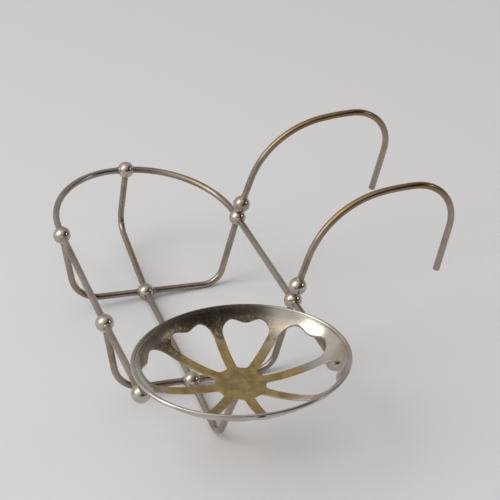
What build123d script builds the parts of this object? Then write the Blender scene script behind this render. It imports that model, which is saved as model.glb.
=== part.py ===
"""Over-bath soap and sponge rack: bent wire, brazed balls and a pierced pressed dish.

The rack is drawn level first, in its own frame:
  origin  where the keel wire passes the rear floor wires
  +X      towards the two rim hooks
  +Y      towards the rear bow of the sponge basket
  +Z      up
It is then leaned on to its hook side and lifted, because it stands on two floor balls and on
two wire corners, and moved so that the origin is under the middle of the whole rack.
In the finished frame +Z is up and z = 0 is the surface it stands on.
"""

import os
from math import asin, atan2, cos, degrees, hypot, radians, sin, tan

from build123d import *

# ---- wire and balls -------------------------------------------------------------------------
wire_d = 4.2
wire_r = wire_d / 2
ball_d = 11.0
ball_r = ball_d / 2
ball_turn = (20, 30, 40)

# ---- top rail: two long legs and a tilted rear bow ------------------------------------------
rail_half_width = 59.1
rail_height = 50.2
leg_length = 170.5
bow_tilt = 8.0
bow_straight = 1.9
bow_left_radius = 52.0
bow_corner_right_x = 53.7
bow_corner_right_reach = 55.8
bow_right_radius = 63.5
end_left_inset = 1.1
end_right_inset = 2.0
end_right_rise = 3.5
kink_radius = 22.0

# ---- the two supports under the rail --------------------------------------------------------
support_pitch = 100.4
corner_left_x = -48.0
corner_left_radius = 21.0
corner_right_x = 50.0
corner_right_radius = 13.0

# ---- keel wire, drawn in a vertical plane that is a little out of square --------------------
keel_skew = 0.6
keel_drop_slope = 0.155
keel_rear_slope = 0.19
keel_rear_bend = 12.0
keel_front_corner_y = -152.5
keel_front_corner_z = -2.5
keel_front_bend = 14.0
riser_foot_y = -179.5
riser_top_z = 56.0

# ---- rim hooks ------------------------------------------------------------------------------
hook_ball_out = 1.2
hook_ball_forward = 1.7
rear_hook_rise_angle = 77.2
rear_hook_lean = 4.0
front_hook_rise_angle = 76.0
front_hook_lean = -1.0
hook_rise = 20.0
hook_crown_radius = 54.5
hook_crown_turn = 66.0
hook_top_radius = 137.0
hook_top_turn = 9.0
hook_drop_radius = 27.3
hook_drop_turn = 98.6
hook_drop = 31.0
hook_tip_round = 0.6

# ---- soap dish, drawn round its own axis with the rim at height 0; it is oval, long along X ---
dish_centre = (-0.1, -170.2, 64.5)
dish_tilt = -2.5
sheet = 0.9
rim_half_length = 61.7
rim_half_width = 51.05
rim_bead_r = 1.15
hub_depth = 16.9
hub_radius = 14.0
hub_flat_share = 0.95
hub_flat_depth = 0.03
floor_radius = 100.0
floor_edge_r = 46.4
knuckle_radius = 23.5
wall_angle = 61.0

# ---- the eight heart-shaped openings between eight spokes ------------------------------------
heart_count = 8
spoke_width = 5.6
heart_inner = 14.4
heart_inner_round = 2.3
heart_side_share = 0.76
heart_shoulder_turn = 5.8
heart_shoulder_share = 0.86
heart_lobe_turn = 12.0
heart_lobe_share = 0.913
heart_cusp_share = 0.884

os.makedirs("parts", exist_ok=True)


def corner_arc(before, corner, after, radius):
    """Start, middle and end of the arc that rounds a corner between two straight runs."""
    before, corner, after = Vector(*before), Vector(*corner), Vector(*after)
    to_before = (before - corner).normalized()
    to_after = (after - corner).normalized()
    half = radians(to_before.get_angle(to_after)) / 2
    inward = (to_before + to_after).normalized()
    reach = radius / tan(half)
    middle = corner + inward * (radius / sin(half) - radius)
    return corner + to_before * reach, middle, corner + to_after * reach


def bent_run(points, radii):
    """Straight runs through the points, rounded at each inner point; call inside BuildLine."""
    at = Vector(*points[0])
    for i, radius in enumerate(radii):
        start, middle, end = corner_arc(points[i], points[i + 1], points[i + 2], radius)
        Line(at, start)
        ThreePointArc(start, middle, end)
        at = end
    last = Vector(*points[-1])
    Line(at, last)
    return last


def section_plane(path):
    """Plane square to the path at its start, to hold the wire's round section."""
    return Plane(origin=path @ 0, z_dir=path % 0)


# ---- fixed points ---------------------------------------------------------------------------
tilt = radians(bow_tilt)
bow_reach = bow_straight + rail_half_width
skew = tan(radians(keel_skew))


def on_bow(x, reach):
    """Point of the tilted bow, reach forward of the two rear balls along its slope."""
    return (x, reach * cos(tilt), rail_height + reach * sin(tilt))


bow_top = on_bow(0.0, bow_reach)


def keel_x(y):
    return -(bow_top[1] - y) * skew


rear_left = (-rail_half_width, 0.0, rail_height)
rear_right = (rail_half_width, 0.0, rail_height)
front_left = (-rail_half_width, -support_pitch, rail_height)
front_right = (rail_half_width, -support_pitch, rail_height)
end_left = (end_left_inset - rail_half_width, -leg_length, rail_height)
end_right = (rail_half_width - end_right_inset, -leg_length, rail_height + end_right_rise)

# the lean puts the floor balls and the right-hand wire corners on one surface
right_slope = atan2(rail_height, rail_half_width - corner_right_x)
right_flat_end = corner_right_x - corner_right_radius * tan(right_slope / 2)
lean_arm = right_flat_end - keel_x(0.0)
lean_base = ball_r - wire_r
lean = atan2(corner_right_radius, lean_arm) + asin(
    (lean_base - corner_right_radius) / hypot(lean_arm, corner_right_radius)
)
stand_height = ball_r + keel_x(0.0) * sin(lean)

rear_floor = (keel_x(0.0), 0.0, 0.0)
front_floor_x = keel_x(-support_pitch)
front_floor = (front_floor_x, -support_pitch, (front_floor_x - rear_floor[0]) * tan(lean))

hook_ball_up = (ball_d**2 - hook_ball_out**2 - hook_ball_forward**2) ** 0.5
hook_offset = Vector(hook_ball_out, -hook_ball_forward, hook_ball_up)
rear_hook_foot = Vector(*rear_right) + hook_offset
front_hook_foot = Vector(*front_right) + hook_offset

rack_pose = Location((0, 0, stand_height), (0, degrees(lean), 0))
dish_pose = Location(dish_centre, (0, dish_tilt, 0))

# ---- top rail: the bow's left half is a quarter turn, its right half is flatter ---------------
bow_corner_left = on_bow(-rail_half_width, bow_reach)
bow_corner_right = on_bow(bow_corner_right_x, bow_corner_right_reach)
rail_points = [
    end_left,
    front_left,
    rear_left,
    bow_corner_left,
    bow_top,
    bow_corner_right,
    rear_right,
    front_right,
    end_right,
]
rail_radii = [
    kink_radius,
    kink_radius,
    bow_left_radius,
    kink_radius,
    bow_right_radius,
    kink_radius,
    kink_radius,
]

with BuildPart() as top_rail:
    with BuildLine() as rail_path:
        bent_run(rail_points, rail_radii)
    with BuildSketch(section_plane(rail_path.wires()[0])):
        Circle(wire_r)
    sweep(path=rail_path.wires()[0])


# ---- supports: each is two bent rods that meet the keel inside the floor ball ----------------
def support_path(top, floor, corner_x, radius):
    """A rod's centre line from just outside the keel, along the floor and up to the rail."""
    side = 1 if corner_x > 0 else -1
    y = top[1]
    inner = (floor[0] + side * wire_r, y, 0.0)
    corner = (corner_x, y, 0.0)
    climb = (Vector(*top) - Vector(*corner)).normalized()
    outer = Vector(*top) - climb * wire_r
    bent_run([inner, corner, (outer.X, outer.Y, outer.Z)], [radius])


with BuildPart() as rear_hoop_left:
    with BuildLine() as rear_left_path:
        support_path(rear_left, rear_floor, corner_left_x, corner_left_radius)
    with BuildSketch(section_plane(rear_left_path.wires()[0])):
        Circle(wire_r)
    sweep(path=rear_left_path.wires()[0])

with BuildPart() as rear_hoop_right:
    with BuildLine() as rear_right_path:
        support_path(rear_right, rear_floor, corner_right_x, corner_right_radius)
    with BuildSketch(section_plane(rear_right_path.wires()[0])):
        Circle(wire_r)
    sweep(path=rear_right_path.wires()[0])

with BuildPart() as front_hoop_left:
    with BuildLine() as front_left_path:
        support_path(front_left, front_floor, corner_left_x, corner_left_radius)
    with BuildSketch(section_plane(front_left_path.wires()[0])):
        Circle(wire_r)
    sweep(path=front_left_path.wires()[0])

with BuildPart() as front_hoop_right:
    with BuildLine() as front_right_path:
        support_path(front_right, front_floor, corner_right_x, corner_right_radius)
    with BuildSketch(section_plane(front_right_path.wires()[0])):
        Circle(wire_r)
    sweep(path=front_right_path.wires()[0])

# ---- soap dish ------------------------------------------------------------------------------
floor_slope = asin((floor_edge_r - hub_radius) / floor_radius)
floor_edge_h = -hub_depth + floor_radius * (1 - cos(floor_slope))
wall_slope = radians(wall_angle)
knuckle_centre_r = floor_edge_r - knuckle_radius * sin(floor_slope)
knuckle_centre_h = floor_edge_h + knuckle_radius * cos(floor_slope)
wall_thick = sheet / sin(wall_slope)
half_sector = 180 / heart_count


def on_floor(angle, drop):
    """Point (r, h) on the floor curve, drop below the inner face."""
    radius = floor_radius + drop
    return hub_radius + radius * sin(angle), -hub_depth - drop + radius * (1 - cos(angle))


def on_knuckle(angle, drop):
    """Point (r, h) on the knuckle curve, drop outside the inner face."""
    radius = knuckle_radius + drop
    return knuckle_centre_r + radius * sin(angle), knuckle_centre_h - radius * cos(angle)


def sheet_curve(drop, wall_top):
    """Centre to rim along one face of the sheet."""
    hub_edge = (hub_radius, -hub_depth - drop)
    Line((0, -hub_depth - drop), hub_edge)
    ThreePointArc(hub_edge, on_floor(floor_slope / 2, drop), on_floor(floor_slope, drop))
    middle = (floor_slope + wall_slope) / 2
    ThreePointArc(
        on_knuckle(floor_slope, drop), on_knuckle(middle, drop), on_knuckle(wall_slope, drop)
    )
    Line(on_knuckle(wall_slope, drop), wall_top)


def oval_r(angle):
    """Distance from the dish's axis to the rim at an angle in degrees."""
    along = cos(radians(angle)) / rim_half_length
    across = sin(radians(angle)) / rim_half_width
    return 1 / hypot(along, across)


def polar(r, angle):
    return Vector(r * cos(radians(angle)), r * sin(radians(angle)))


def in_heart(share, angle):
    """Point at a share of the way from the dish's axis to the oval rim."""
    return polar(share * oval_r(angle), angle)


def beside_spoke(along, angle, side):
    """Point on a spoke's edge, along it from the centre."""
    return polar(along, angle) + polar(side * spoke_width / 2, angle + 90)


def heart_outline(first, last):
    """One opening between the spokes at two angles in degrees."""
    inner_first = beside_spoke(heart_inner, first, 1)
    inner_last = beside_spoke(heart_inner, last, -1)
    side_first = beside_spoke(heart_side_share * oval_r(first), first, 1)
    side_last = beside_spoke(heart_side_share * oval_r(last), last, -1)
    Line(inner_last, inner_first)
    Line(inner_first, side_first)
    Spline(
        side_first,
        in_heart(heart_shoulder_share, first + heart_shoulder_turn),
        in_heart(heart_lobe_share, first + heart_lobe_turn),
        in_heart(heart_cusp_share, (first + last) / 2),
        in_heart(heart_lobe_share, last - heart_lobe_turn),
        in_heart(heart_shoulder_share, last - heart_shoulder_turn),
        side_last,
        tangents=[polar(1, first), -polar(1, last)],
        tangent_scalars=[1, 1],
    )
    Line(side_last, inner_last)


wall_r = on_knuckle(wall_slope, 0)[0] - on_knuckle(wall_slope, 0)[1] / tan(wall_slope)

def at_inner_end(vertex):
    return hypot(vertex.X, vertex.Y) < heart_side_share * rim_half_width / 2


# the dish is turned and pierced as a round one, then narrowed along Y into an oval; a shallow
# flat is dressed on its hub where the soap stands
with BuildPart() as soap_dish:
    with BuildSketch(Plane.XZ):
        with BuildLine():
            sheet_curve(0, (wall_r, 0))
            Line((wall_r, 0), (wall_r + wall_thick, 0))
            sheet_curve(sheet, (wall_r + wall_thick, 0))
            Line((0, -hub_depth), (0, -hub_depth - sheet))
        make_face()
        with Locations((rim_half_length, 0)):
            Circle(rim_bead_r)
    revolve(axis=Axis.Z)
    with BuildSketch(Plane.XY.offset(-hub_depth - 2 * sheet)) as openings:
        for i in range(heart_count):
            with BuildLine():
                heart_outline(i * 2 * half_sector, (i + 1) * 2 * half_sector)
            make_face()
        fillet(openings.vertices().filter_by(at_inner_end), heart_inner_round)
        scale(by=(1, rim_half_length / rim_half_width, 1))
    extrude(amount=hub_depth + 2 * sheet, mode=Mode.SUBTRACT)
    scale(by=(1, rim_half_width / rim_half_length, 1))
    with BuildSketch(Plane.XY.offset(-hub_depth - hub_flat_depth)):
        flat = hub_flat_share * hub_radius
        Ellipse(flat, flat * rim_half_width / rim_half_length)
    extrude(amount=sheet, mode=Mode.SUBTRACT)

# ---- keel -----------------------------------------------------------------------------------
drop_meets_slope_y = (bow_top[1] + keel_drop_slope * bow_top[2]) / (
    1 + keel_drop_slope * keel_rear_slope
)
drop_direction = Vector(0, keel_drop_slope, -1).normalized()
keel_top_y = bow_top[1] + drop_direction.Y * wire_r
keel_top_z = bow_top[2] + drop_direction.Z * wire_r
riser_lean = (keel_front_corner_y - riser_foot_y) / (riser_top_z - keel_front_corner_z)


def on_keel(y, z):
    """Point of the keel's own plane, which is a little out of square with the rail."""
    return (keel_x(y), y, z)


with BuildPart() as keel:
    with BuildLine() as keel_path:
        bent_run(
            [
                on_keel(keel_top_y, keel_top_z),
                on_keel(drop_meets_slope_y, drop_meets_slope_y * keel_rear_slope),
                rear_floor,
                front_floor,
                on_keel(keel_front_corner_y, keel_front_corner_z),
                on_keel(riser_foot_y, riser_top_z),
            ],
            [keel_rear_bend, kink_radius, kink_radius, keel_front_bend],
        )
    with BuildSketch(section_plane(keel_path.wires()[0])):
        Circle(wire_r)
    sweep(path=keel_path.wires()[0])
    # the riser is trimmed to sit flat under the dish's hub
    with Locations(dish_pose * Location((0, 0, -hub_depth - sheet))):
        Cylinder(
            hub_radius, hub_depth, align=(Align.CENTER, Align.CENTER, Align.MIN), mode=Mode.SUBTRACT
        )


# ---- rim hooks ------------------------------------------------------------------------------
def hook_path(foot, rise_angle, hook_lean):
    """A hook's centre line in the plane through its foot, leaned a little towards the dish."""
    facing = (0, -cos(radians(hook_lean)), -sin(radians(hook_lean)))
    with BuildLine(Plane(origin=foot, x_dir=(1, 0, 0), z_dir=facing)) as path:
        rise = PolarLine((0, 0), hook_rise, rise_angle)
        crown = JernArc(rise @ 1, rise % 1, hook_crown_radius, -hook_crown_turn)
        top = JernArc(crown @ 1, crown % 1, hook_top_radius, -hook_top_turn)
        drop = JernArc(top @ 1, top % 1, hook_drop_radius, -hook_drop_turn)
        PolarLine(drop @ 1, hook_drop, direction=drop % 1)
    return path.wires()[0]


with BuildPart() as rear_hook:
    rear_hook_line = hook_path(rear_hook_foot, rear_hook_rise_angle, rear_hook_lean)
    with BuildSketch(section_plane(rear_hook_line)):
        Circle(wire_r)
    sweep(path=rear_hook_line)
    fillet(rear_hook.faces().sort_by(Axis.Z)[0].edges(), hook_tip_round)

with BuildPart() as front_hook:
    front_hook_line = hook_path(front_hook_foot, front_hook_rise_angle, front_hook_lean)
    with BuildSketch(section_plane(front_hook_line)):
        Circle(wire_r)
    sweep(path=front_hook_line)
    fillet(front_hook.faces().sort_by(Axis.Z)[0].edges(), hook_tip_round)


# ---- balls, each bored for the wires that enter it -------------------------------------------
def bored_ball(centre, wires):
    """A ball with the exact holes of the wires brazed into it, its poles turned off them."""
    with BuildPart() as ball:
        with Locations(centre):
            Sphere(ball_r, rotation=ball_turn)
        for wire in wires:
            add(wire.part, mode=Mode.SUBTRACT)
    return ball.part


nodes = {
    "top_rail": top_rail.part,
    "rear_hoop_left": rear_hoop_left.part,
    "rear_hoop_right": rear_hoop_right.part,
    "front_hoop_left": front_hoop_left.part,
    "front_hoop_right": front_hoop_right.part,
    "keel": keel.part,
    "rear_hook": rear_hook.part,
    "front_hook": front_hook.part,
    "ball_bow": bored_ball(bow_top, [top_rail, keel]),
    "ball_rear_left": bored_ball(rear_left, [top_rail, rear_hoop_left]),
    "ball_rear_right": bored_ball(rear_right, [top_rail, rear_hoop_right]),
    "ball_front_left": bored_ball(front_left, [top_rail, front_hoop_left]),
    "ball_front_right": bored_ball(front_right, [top_rail, front_hoop_right]),
    "ball_end_left": bored_ball(end_left, [top_rail]),
    "ball_end_right": bored_ball(end_right, [top_rail]),
    "ball_rear_floor": bored_ball(rear_floor, [keel, rear_hoop_left, rear_hoop_right]),
    "ball_front_floor": bored_ball(front_floor, [keel, front_hoop_left, front_hoop_right]),
    "ball_rear_hook": bored_ball(rear_hook_foot, [rear_hook]),
    "ball_front_hook": bored_ball(front_hook_foot, [front_hook]),
    "soap_dish": dish_pose * soap_dish.part,
}

# the finished origin is the middle of the rack's bounding box, on the surface it stands on
standing = {name: rack_pose * shape for name, shape in nodes.items()}
middle = Compound(list(standing.values())).bounding_box().center()
to_origin = Location((-middle.X, -middle.Y, 0))

for name, shape in standing.items():
    part = to_origin * shape
    part.label = name
    export_step(part, f"parts/{name}.step")
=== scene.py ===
"""Over-bath soap and sponge rack: worn nickel-plated wire, brazed balls and a pierced oval dish."""
import math

import bmesh
import bpy
import numpy as np
from mathutils import Matrix, Vector


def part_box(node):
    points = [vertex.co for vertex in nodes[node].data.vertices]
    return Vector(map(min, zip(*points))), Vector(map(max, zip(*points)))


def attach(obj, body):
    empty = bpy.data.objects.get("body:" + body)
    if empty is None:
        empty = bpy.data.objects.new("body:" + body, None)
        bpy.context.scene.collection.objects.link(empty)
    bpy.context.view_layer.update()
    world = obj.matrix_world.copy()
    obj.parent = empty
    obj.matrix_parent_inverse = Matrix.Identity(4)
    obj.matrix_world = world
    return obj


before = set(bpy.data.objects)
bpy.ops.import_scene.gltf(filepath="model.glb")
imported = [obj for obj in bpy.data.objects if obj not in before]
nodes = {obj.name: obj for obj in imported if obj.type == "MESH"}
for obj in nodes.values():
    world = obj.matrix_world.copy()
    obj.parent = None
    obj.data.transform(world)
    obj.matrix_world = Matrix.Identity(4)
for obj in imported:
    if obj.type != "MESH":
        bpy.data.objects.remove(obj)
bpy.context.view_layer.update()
scene = bpy.context.scene

# ---- places in the rack, in metres ------------------------------------------------------------
WIRE_R = 0.0021
BALL_R = 0.0055
RIM_HEIGHT = 0.0697
DISH_LOW, DISH_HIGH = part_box("soap_dish")
DISH_CENTRE = Vector(((DISH_LOW.x + DISH_HIGH.x) / 2, (DISH_LOW.y + DISH_HIGH.y) / 2, RIM_HEIGHT))
DISH_TILT = math.radians(2.34)
DISH_HALF_LENGTH = 0.0617
DISH_HALF_WIDTH = 0.05105
DARK_SPOT = (-0.0560, -0.1444, 0.0697)
DARK_SPOT_SQUEEZE = (1.0, 0.6, 3.2)
CROWN_LOW = 0.088
CROWN_HIGH = 0.113

# ---- metal colours, linear ----------------------------------------------------------------------
WIRE_NICKEL = (0.38, 0.33, 0.282)
WIRE_BROWN = (0.275, 0.215, 0.162)
WIRE_TARNISH = (0.27, 0.205, 0.145)
CROWN_GOLD = (0.26, 0.17, 0.078)
JOINT_DIRT = (0.15, 0.105, 0.07)
WIRE_SPOT = (0.18, 0.135, 0.10)
BALL_NICKEL = (0.54, 0.50, 0.45)
BALL_BROWN = (0.40, 0.33, 0.265)
BALL_SPOT = (0.20, 0.15, 0.11)
BRAZE_LIGHT = (0.40, 0.33, 0.26)
BRAZE_DARK = (0.24, 0.18, 0.12)
PLATE_LIGHT = (0.53, 0.50, 0.455)
PLATE_DULL = (0.42, 0.38, 0.33)
BRASS_LIGHT = (0.49, 0.355, 0.145)
BRASS_DARK = (0.33, 0.232, 0.092)
HUB_PURPLE = (0.27, 0.18, 0.135)
# painted dark reflection for the back wall of the dish
WALL_DARK_REFLECTION_PAINT = (0.115, 0.092, 0.068)
FLECK_GOLD = (0.55, 0.40, 0.16)
FRONT_FLECK = (0.50, 0.37, 0.16)
DARK_SPOT_COLOUR = (0.030, 0.022, 0.015)


# ---- small node-building helpers --------------------------------------------------------------
class Nodes:
    """A material's or the world's node tree, with one method for each kind of node used here."""

    def __init__(self, tree):
        self.tree = tree
        tree.nodes.clear()

    def new(self, kind, **values):
        node = self.tree.nodes.new(kind)
        for key, value in values.items():
            setattr(node, key, value)
        return node

    def put(self, socket, value):
        if isinstance(value, bpy.types.NodeSocket):
            self.tree.links.new(value, socket)
        elif value is not None:
            socket.default_value = value

    def math(self, operation, a, b):
        node = self.new("ShaderNodeMath", operation=operation)
        self.put(node.inputs[0], a)
        self.put(node.inputs[1], b)
        return node.outputs[0]

    def times(self, a, b):
        return self.math("MULTIPLY", a, b)

    def plus(self, a, b):
        return self.math("ADD", a, b)

    def vector(self, operation, a, b=None):
        node = self.new("ShaderNodeVectorMath", operation=operation)
        self.put(node.inputs[0], a)
        self.put(node.inputs[1], b)
        gives_number = operation in ("DISTANCE", "LENGTH", "DOT_PRODUCT")
        return node.outputs["Value" if gives_number else "Vector"]

    def place(self):
        """The shaded point, in the rack's own frame."""
        return self.new("ShaderNodeNewGeometry").outputs["Position"]

    def split(self, vector):
        node = self.new("ShaderNodeSeparateXYZ")
        self.put(node.inputs[0], vector)
        return node.outputs

    def ramp(self, value, low, high, start=0.0, end=1.0):
        """A smooth step from start to end as value goes from low to high."""
        node = self.new("ShaderNodeMapRange", interpolation_type="SMOOTHSTEP")
        for socket, number in zip(node.inputs, (value, low, high, start, end)):
            self.put(socket, number)
        return node.outputs[0]

    def noise(self, vector, scale, detail, roughness=0.55):
        node = self.new("ShaderNodeTexNoise")
        self.put(node.inputs["Vector"], vector)
        self.put(node.inputs["Scale"], scale)
        self.put(node.inputs["Detail"], detail)
        self.put(node.inputs["Roughness"], roughness)
        return node.outputs[0]

    def mix(self, factor, a, b):
        """Colour a where factor is 0 and colour b where it is 1."""
        node = self.new("ShaderNodeMix", data_type="RGBA")
        self.put(node.inputs["Factor"], factor)
        first, second = (socket for socket in node.inputs if socket.type == "RGBA")
        for socket, colour in ((first, a), (second, b)):
            self.put(socket, colour if isinstance(colour, bpy.types.NodeSocket) else (*colour, 1))
        return next(socket for socket in node.outputs if socket.type == "RGBA")

    def bump(self, height, strength, distance, normal=None):
        node = self.new("ShaderNodeBump")
        self.put(node.inputs["Height"], height)
        self.put(node.inputs["Strength"], strength)
        self.put(node.inputs["Distance"], distance)
        if normal is not None:
            self.put(node.inputs["Normal"], normal)
        return node.outputs[0]


def metal(name):
    """An empty metal material: its node helper and its Principled shader."""
    material = bpy.data.materials.new(name)
    material.use_nodes = True
    n = Nodes(material.node_tree)
    out = n.new("ShaderNodeOutputMaterial")
    shader = n.new("ShaderNodeBsdfPrincipled")
    n.tree.links.new(shader.outputs[0], out.inputs[0])
    shader.inputs["Metallic"].default_value = 1.0
    return material, n, shader


# ---- ball centres, read from the CAD meshes -------------------------------------------------------
BALL_SKIN = 0.0006
JOINT_REACH = (0.0002, 0.0028)


def points(node):
    """A CAD node's mesh points, one row each."""
    mesh = nodes[node].data
    co = np.empty(len(mesh.vertices) * 3)
    mesh.vertices.foreach_get("co", co)
    return co.reshape(-1, 3)


def ball_centre(node):
    """Least-squares centre of the ball's outside."""
    co = points(node)
    guess = (co.min(0) + co.max(0)) / 2
    for _ in range(3):
        outside = co[np.abs(np.linalg.norm(co - guess, axis=1) - BALL_R) < BALL_SKIN]
        a = np.hstack([2 * outside, np.ones((len(outside), 1))])
        guess = np.linalg.lstsq(a, (outside**2).sum(1), rcond=None)[0][:3]
    return Vector(guess)


BALLS = {name: ball_centre(name) for name in sorted(nodes) if name.startswith("ball_")}


# ---- materials --------------------------------------------------------------------------------
def near_balls(n, place):
    """How near a point is to a ball: 1 at the joint, 0 a few millimetres away."""
    nearest = None
    for centre in BALLS.values():
        gap = n.vector("DISTANCE", place, tuple(centre))
        nearest = gap if nearest is None else n.math("MINIMUM", nearest, gap)
    near, far = JOINT_REACH
    return n.ramp(nearest, BALL_R + near, BALL_R + far, 1.0, 0.0)


def wire_metal():
    """Satin nickel gone brown in patches, and golden where the hooks' crowns have been rubbed."""
    material, n, shader = metal("worn_nickel_wire")
    place = n.place()
    height = n.split(place)[2]
    broad = n.noise(place, 26.0, 3.0)
    patch = n.noise(place, 110.0, 4.0, 0.6)
    fine = n.noise(place, 700.0, 4.0, 0.6)

    rubbed = n.times(n.ramp(height, CROWN_LOW, CROWN_HIGH), n.ramp(broad, 0.25, 0.5, 0.55, 1.0))
    joint = n.times(near_balls(n, place), n.ramp(patch, 0.30, 0.55, 0.4, 1.0))
    colour = n.mix(n.ramp(broad, 0.40, 0.64), WIRE_NICKEL, WIRE_BROWN)
    colour = n.mix(n.ramp(patch, 0.52, 0.68, 0.0, 0.35), colour, WIRE_TARNISH)
    colour = n.mix(n.times(rubbed, 0.9), colour, CROWN_GOLD)
    colour = n.mix(n.ramp(fine, 0.66, 0.76, 0.0, 0.2), colour, WIRE_SPOT)
    colour = n.mix(n.times(joint, 0.75), colour, JOINT_DIRT)
    n.put(shader.inputs["Base Color"], colour)

    rough = n.plus(n.ramp(patch, 0.3, 0.7, 0.20, 0.32), n.times(joint, 0.12))
    n.put(shader.inputs["Roughness"], rough)
    relief = n.plus(broad, n.times(patch, 0.3))
    n.put(shader.inputs["Normal"], n.bump(relief, 0.06, 0.0003))
    return material


def ball_metal():
    """Smoother, paler nickel with brown patches and small dark spots."""
    material, n, shader = metal("worn_nickel_ball")
    place = n.place()
    broad = n.noise(place, 120.0, 3.0)
    fine = n.noise(place, 900.0, 4.0, 0.6)
    colour = n.mix(n.ramp(broad, 0.40, 0.66), BALL_NICKEL, BALL_BROWN)
    colour = n.mix(n.ramp(fine, 0.64, 0.74, 0.0, 0.5), colour, BALL_SPOT)
    n.put(shader.inputs["Base Color"], colour)
    n.put(shader.inputs["Roughness"], n.ramp(broad, 0.3, 0.7, 0.17, 0.27))
    relief = n.plus(broad, n.times(fine, 0.2))
    n.put(shader.inputs["Normal"], n.bump(relief, 0.10, 0.0003))
    return material


def braze_metal():
    """Rough braze, a little yellower than the wire."""
    material, n, shader = metal("braze_fillet")
    fine = n.noise(n.place(), 700.0, 4.0, 0.6)
    n.put(shader.inputs["Base Color"], n.mix(n.ramp(fine, 0.35, 0.65), BRAZE_LIGHT, BRAZE_DARK))
    n.put(shader.inputs["Roughness"], n.ramp(fine, 0.3, 0.7, 0.28, 0.45))
    n.put(shader.inputs["Normal"], n.bump(fine, 0.3, 0.0003))
    return material


def in_dish(n, place):
    """A point in the dish's own frame: turned level, with the middle of the rim at the origin."""
    turned = n.new("ShaderNodeVectorRotate", rotation_type="Y_AXIS")
    n.put(turned.inputs["Vector"], n.vector("SUBTRACT", place, tuple(DISH_CENTRE)))
    turned.inputs["Angle"].default_value = -DISH_TILT
    return turned.outputs[0]


def dish_metal():
    """Nickel worn through to brass on the hub and spokes, with painted dark reflection on the back
    wall.
    """
    material, n, shader = metal("worn_dish_plate_and_painted_reflection")
    place = n.place()
    local = in_dish(n, place)
    x, y, _ = n.split(local)
    across = n.math("DIVIDE", x, DISH_HALF_LENGTH)
    along = n.math("DIVIDE", y, DISH_HALF_WIDTH)
    oval = n.new("ShaderNodeCombineXYZ")
    n.put(oval.inputs[0], across)
    n.put(oval.inputs[1], along)
    share = n.vector("LENGTH", oval.outputs[0])
    broad = n.noise(local, 55.0, 3.0)
    blotch = n.noise(local, 160.0, 4.0, 0.6)
    speck = n.noise(local, 1500.0, 3.0, 0.7)
    pits = n.noise(local, 620.0, 4.0, 0.7)
    flecks = n.noise(local, 560.0, 3.0, 0.75)

    plate = n.mix(n.ramp(broad, 0.35, 0.68), PLATE_LIGHT, PLATE_DULL)
    brass = n.mix(n.ramp(blotch, 0.36, 0.66), BRASS_LIGHT, BRASS_DARK)
    hub = n.times(n.ramp(share, 0.04, 0.24, 1.0, 0.0), n.ramp(blotch, 0.35, 0.58))
    brass = n.mix(n.times(hub, 0.5), brass, HUB_PURPLE)

    # worn to brass on the hub and spokes; the plate starts again near the wall, sooner at +X
    edge = n.plus(share, n.times(n.math("SUBTRACT", blotch, 0.5), 0.5))
    reach = n.plus(edge, n.ramp(across, -0.2, 0.7, 0.0, 0.16))
    worn = n.times(n.ramp(reach, 0.60, 0.90, 1.0, 0.0), n.ramp(speck, 0.34, 0.46, 0.8, 1.0))
    colour = n.mix(worn, plate, brass)

    # the back wall gets painted dark reflection, broken by pits and least at its two ends, with gold
    # flecks low on it
    wall = n.times(n.ramp(edge, 0.62, 0.80), n.ramp(along, 0.15, 0.6))
    ends = n.times(n.ramp(across, 0.36, 0.66, 1.0, 0.0), n.ramp(across, -0.85, -0.45, 0.35, 1.0))
    painted_dark_wall = n.times(wall, ends)
    painted_dark_reflection = n.times(painted_dark_wall, n.ramp(pits, 0.28, 0.5, 0.6, 1.0))
    colour = n.mix(n.times(painted_dark_reflection, 0.9), colour, WALL_DARK_REFLECTION_PAINT)
    low = n.ramp(share, 0.84, 0.98, 1.0, 0.1)
    gold = n.times(n.times(wall, n.ramp(flecks, 0.53, 0.60)), low)
    colour = n.mix(n.times(gold, 0.95), colour, FLECK_GOLD)

    # gold flecks on the outside of the front wall, and one near-black spot on it under the bead
    outside = n.times(n.ramp(along, -0.75, -0.9), n.ramp(flecks, 0.58, 0.64))
    colour = n.mix(n.times(outside, 0.8), colour, FRONT_FLECK)
    from_dark_spot = n.vector("MULTIPLY", n.vector("SUBTRACT", place, DARK_SPOT), DARK_SPOT_SQUEEZE)
    dark_spot = n.ramp(n.vector("LENGTH", from_dark_spot), 0.0019, 0.0028, 1.0, 0.0)
    colour = n.mix(dark_spot, colour, DARK_SPOT_COLOUR)
    n.put(shader.inputs["Base Color"], colour)

    rough = n.plus(n.ramp(blotch, 0.3, 0.7, 0.19, 0.27), n.times(worn, 0.12))
    n.put(shader.inputs["Roughness"], n.plus(rough, n.times(painted_dark_reflection, 0.10)))
    rounded = n.new("ShaderNodeBevel", samples=4)
    rounded.inputs["Radius"].default_value = 0.0004
    uneven = n.times(pits, n.plus(painted_dark_wall, 0.12))
    relief = n.plus(blotch, n.times(uneven, 0.45))
    n.put(shader.inputs["Normal"], n.bump(relief, 0.12, 0.0005, rounded.outputs[0]))
    return material


def shade_smooth(mesh):
    for polygon in mesh.polygons:
        polygon.use_smooth = True


WIRE = wire_metal()
BALL = ball_metal()
BRAZE = braze_metal()
DISH = dish_metal()
for name, node in nodes.items():
    node.data.materials.clear()
    if name == "soap_dish":
        node.data.materials.append(DISH)
    elif name in BALLS:
        node.data.materials.append(BALL)
    else:
        node.data.materials.append(WIRE)
    shade_smooth(node.data)


# ---- brazed collars where each wire leaves a ball -----------------------------------------------
COLLAR_RUN = 0.0011
COLLAR_FLARE = 0.0009
COLLAR_OVER_WIRE = 0.00004
COLLAR_INTO_BALL = 0.00005
COLLAR_SIDES = 32
COLLAR_STEPS = 6
SHELL_R = BALL_R + 0.0016


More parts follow.
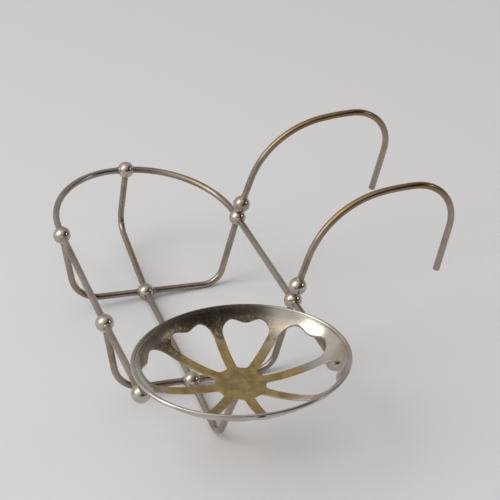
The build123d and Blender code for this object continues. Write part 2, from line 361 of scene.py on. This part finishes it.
def shell_crossings(name, centre):
    """Where a node's mesh edges cross a sphere round the centre, relative to the centre."""
    mesh = nodes[name].data
    offset = points(name) - np.array(centre)
    ends = np.empty(2 * len(mesh.edges), dtype=int)
    mesh.edges.foreach_get("vertices", ends)
    first, last = offset[ends[0::2]], offset[ends[1::2]]
    run = last - first
    a = (run**2).sum(1)
    b = (first * run).sum(1)
    root = b**2 - a * ((first**2).sum(1) - SHELL_R**2)
    crossings = []
    for sign in (-1, 1):
        with np.errstate(divide="ignore", invalid="ignore"):
            t = (-b + sign * np.sqrt(root)) / a
        hit = (root > 0) & (t >= 0) & (t <= 1)
        crossings.append(first[hit] + t[hit, None] * run[hit])
    return np.vstack(crossings)


def wire_directions(centre):
    """Unit directions in which wires leave the ball at centre."""
    found = []
    for name in sorted(nodes):
        if name in BALLS or name == "soap_dish":
            continue
        hits = shell_crossings(name, centre)
        while len(hits) > 5:
            lead = hits[0] / np.linalg.norm(hits[0])
            same = hits @ lead > 0.7 * np.linalg.norm(hits, axis=1)
            group = hits[same]
            hits = hits[~same]
            found.append(Vector((group.min(0) + group.max(0)) / 2).normalized())
    return found


def collar_profile():
    """Radius and distance from the ball's centre, from the ball's surface on to the wire."""
    top = BALL_R + COLLAR_RUN
    ring = WIRE_R + COLLAR_FLARE
    foot = math.sqrt(BALL_R**2 - ring**2) - COLLAR_INTO_BALL
    for i in range(COLLAR_STEPS + 1):
        angle = i / COLLAR_STEPS * math.pi / 2
        radius = ring - (COLLAR_FLARE - COLLAR_OVER_WIRE) * math.sin(angle)
        yield radius, top - (top - foot) * math.cos(angle)


def collar_ring(mesh, radius, along, index):
    """One ring of the collar, uneven where it spreads on to the ball."""
    uneven = radius > WIRE_R * 1.1
    ring = []
    for k in range(COLLAR_SIDES):
        a = 2 * math.pi * k / COLLAR_SIDES
        wobble = 0.03 * math.sin(3 * a + index) + 0.02 * math.sin(5 * a + 2 * index)
        wide = radius * (1 + wobble * uneven)
        ring.append(mesh.verts.new((wide * math.cos(a), radius * math.sin(a), along)))
    return ring


def collar(centre, direction, index):
    """A concave fillet from the ball's surface on to the wire."""
    mesh = bmesh.new()
    rings = [collar_ring(mesh, radius, along, index) for radius, along in collar_profile()]
    for low, high in zip(rings, rings[1:]):
        for k in range(COLLAR_SIDES):
            after = (k + 1) % COLLAR_SIDES
            mesh.faces.new((low[k], low[after], high[after], high[k]))
    name = f"collar_{index:02d}"
    data = bpy.data.meshes.new(name)
    mesh.to_mesh(data)
    mesh.free()
    shade_smooth(data)
    data.materials.append(BRAZE)
    turn = direction.to_track_quat("Z", "Y").to_matrix().to_4x4()
    data.transform(Matrix.Translation(centre) @ turn)
    piece = bpy.data.objects.new(name, data)
    scene.collection.objects.link(piece)
    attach(piece, "root")


exits = [(centre, way) for centre in BALLS.values() for way in wire_directions(centre)]
for index, (centre, way) in enumerate(exits):
    collar(centre, way, index)

# ---- floor ----------------------------------------------------------------------------------------
FLOOR_HALF = 4.0
FLOOR_PAINT = (0.80, 0.80, 0.81, 1)
FLOOR_ROUGHNESS = 0.7


def pale_floor():
    """A plain square floor that the rack stands on."""
    corners = [(-1, -1), (1, -1), (1, 1), (-1, 1)]
    mesh = bpy.data.meshes.new("floor")
    mesh.from_pydata([(x * FLOOR_HALF, y * FLOOR_HALF, 0) for x, y in corners], [], [(0, 1, 2, 3)])
    material = bpy.data.materials.new("floor_paint")
    material.use_nodes = True
    paint = material.node_tree.nodes["Principled BSDF"]
    paint.inputs["Base Color"].default_value = FLOOR_PAINT
    paint.inputs["Roughness"].default_value = FLOOR_ROUGHNESS
    mesh.materials.append(material)
    floor = bpy.data.objects.new("floor", mesh)
    scene.collection.objects.link(floor)


pale_floor()

# ---- room and lights: pale all round, brighter at the left and dark at the front right ------------
ROOM = (0.50, 0.488, 0.48)
ROOM_BRIGHT = (0.80, 0.785, 0.77)
ROOM_DARK = (0.055, 0.05, 0.045)
TOWARDS_BRIGHT = (-0.86, 0.0, 0.50)
TOWARDS_DARK = (0.55, -0.75, 0.37)
LIT_POINT = Vector((0, 0, 0.05))


def room_light():
    world = bpy.data.worlds.new("studio")
    scene.world = world
    world.use_nodes = True
    n = Nodes(world.node_tree)
    sky = n.new("ShaderNodeBackground")
    n.tree.links.new(sky.outputs[0], n.new("ShaderNodeOutputWorld").inputs[0])
    outward = n.new("ShaderNodeTexCoord").outputs["Generated"]
    dark = n.ramp(n.vector("DOT_PRODUCT", outward, TOWARDS_DARK), 0.30, 0.88)
    bright = n.ramp(n.vector("DOT_PRODUCT", outward, TOWARDS_BRIGHT), 0.2, 0.9)
    n.put(sky.inputs["Color"], n.mix(dark, n.mix(bright, ROOM, ROOM_BRIGHT), ROOM_DARK))
    sky.inputs["Strength"].default_value = 1.0


def area_light(name, direction, distance, wide, tall, power, colour):
    """A soft light in the given direction from the rack, facing it."""
    data = bpy.data.lights.new(name, "AREA")
    data.shape = "RECTANGLE"
    data.size = wide
    data.size_y = tall
    data.energy = power
    data.color = colour
    light = bpy.data.objects.new(name, data)
    scene.collection.objects.link(light)
    away = Vector(direction).normalized()
    light.location = LIT_POINT + away * distance
    light.rotation_euler = away.to_track_quat("Z", "Y").to_euler()


room_light()
area_light("window", (-0.74, -0.02, 0.66), 2.0, 1.0, 1.7, 13.5, (1.0, 0.985, 0.97))
area_light("lamp", (0.80, -0.42, 0.40), 2.2, 0.26, 0.26, 2.4, (1.0, 0.97, 0.93))
area_light("ceiling", (-0.2, -0.35, 1.0), 2.6, 3.2, 3.2, 12.0, (1.0, 1.0, 1.0))

# ---- camera: above and in front of the rack's left corner -------------------------------------------
CAMERA_PLACE = (-0.290096, -0.749662, 0.596128)
CAMERA_TURN = (56.9872, -0.8096, -19.9538)
CAMERA_LENS = 113.37
CAMERA_SENSOR = 36.0

camera_data = bpy.data.cameras.new("camera")
camera_data.sensor_width = CAMERA_SENSOR
camera_data.lens = CAMERA_LENS
camera = bpy.data.objects.new("camera", camera_data)
camera.location = CAMERA_PLACE
camera.rotation_euler = [math.radians(a) for a in CAMERA_TURN]
scene.collection.objects.link(camera)
scene.camera = camera
scene.view_settings.view_transform = "Standard"
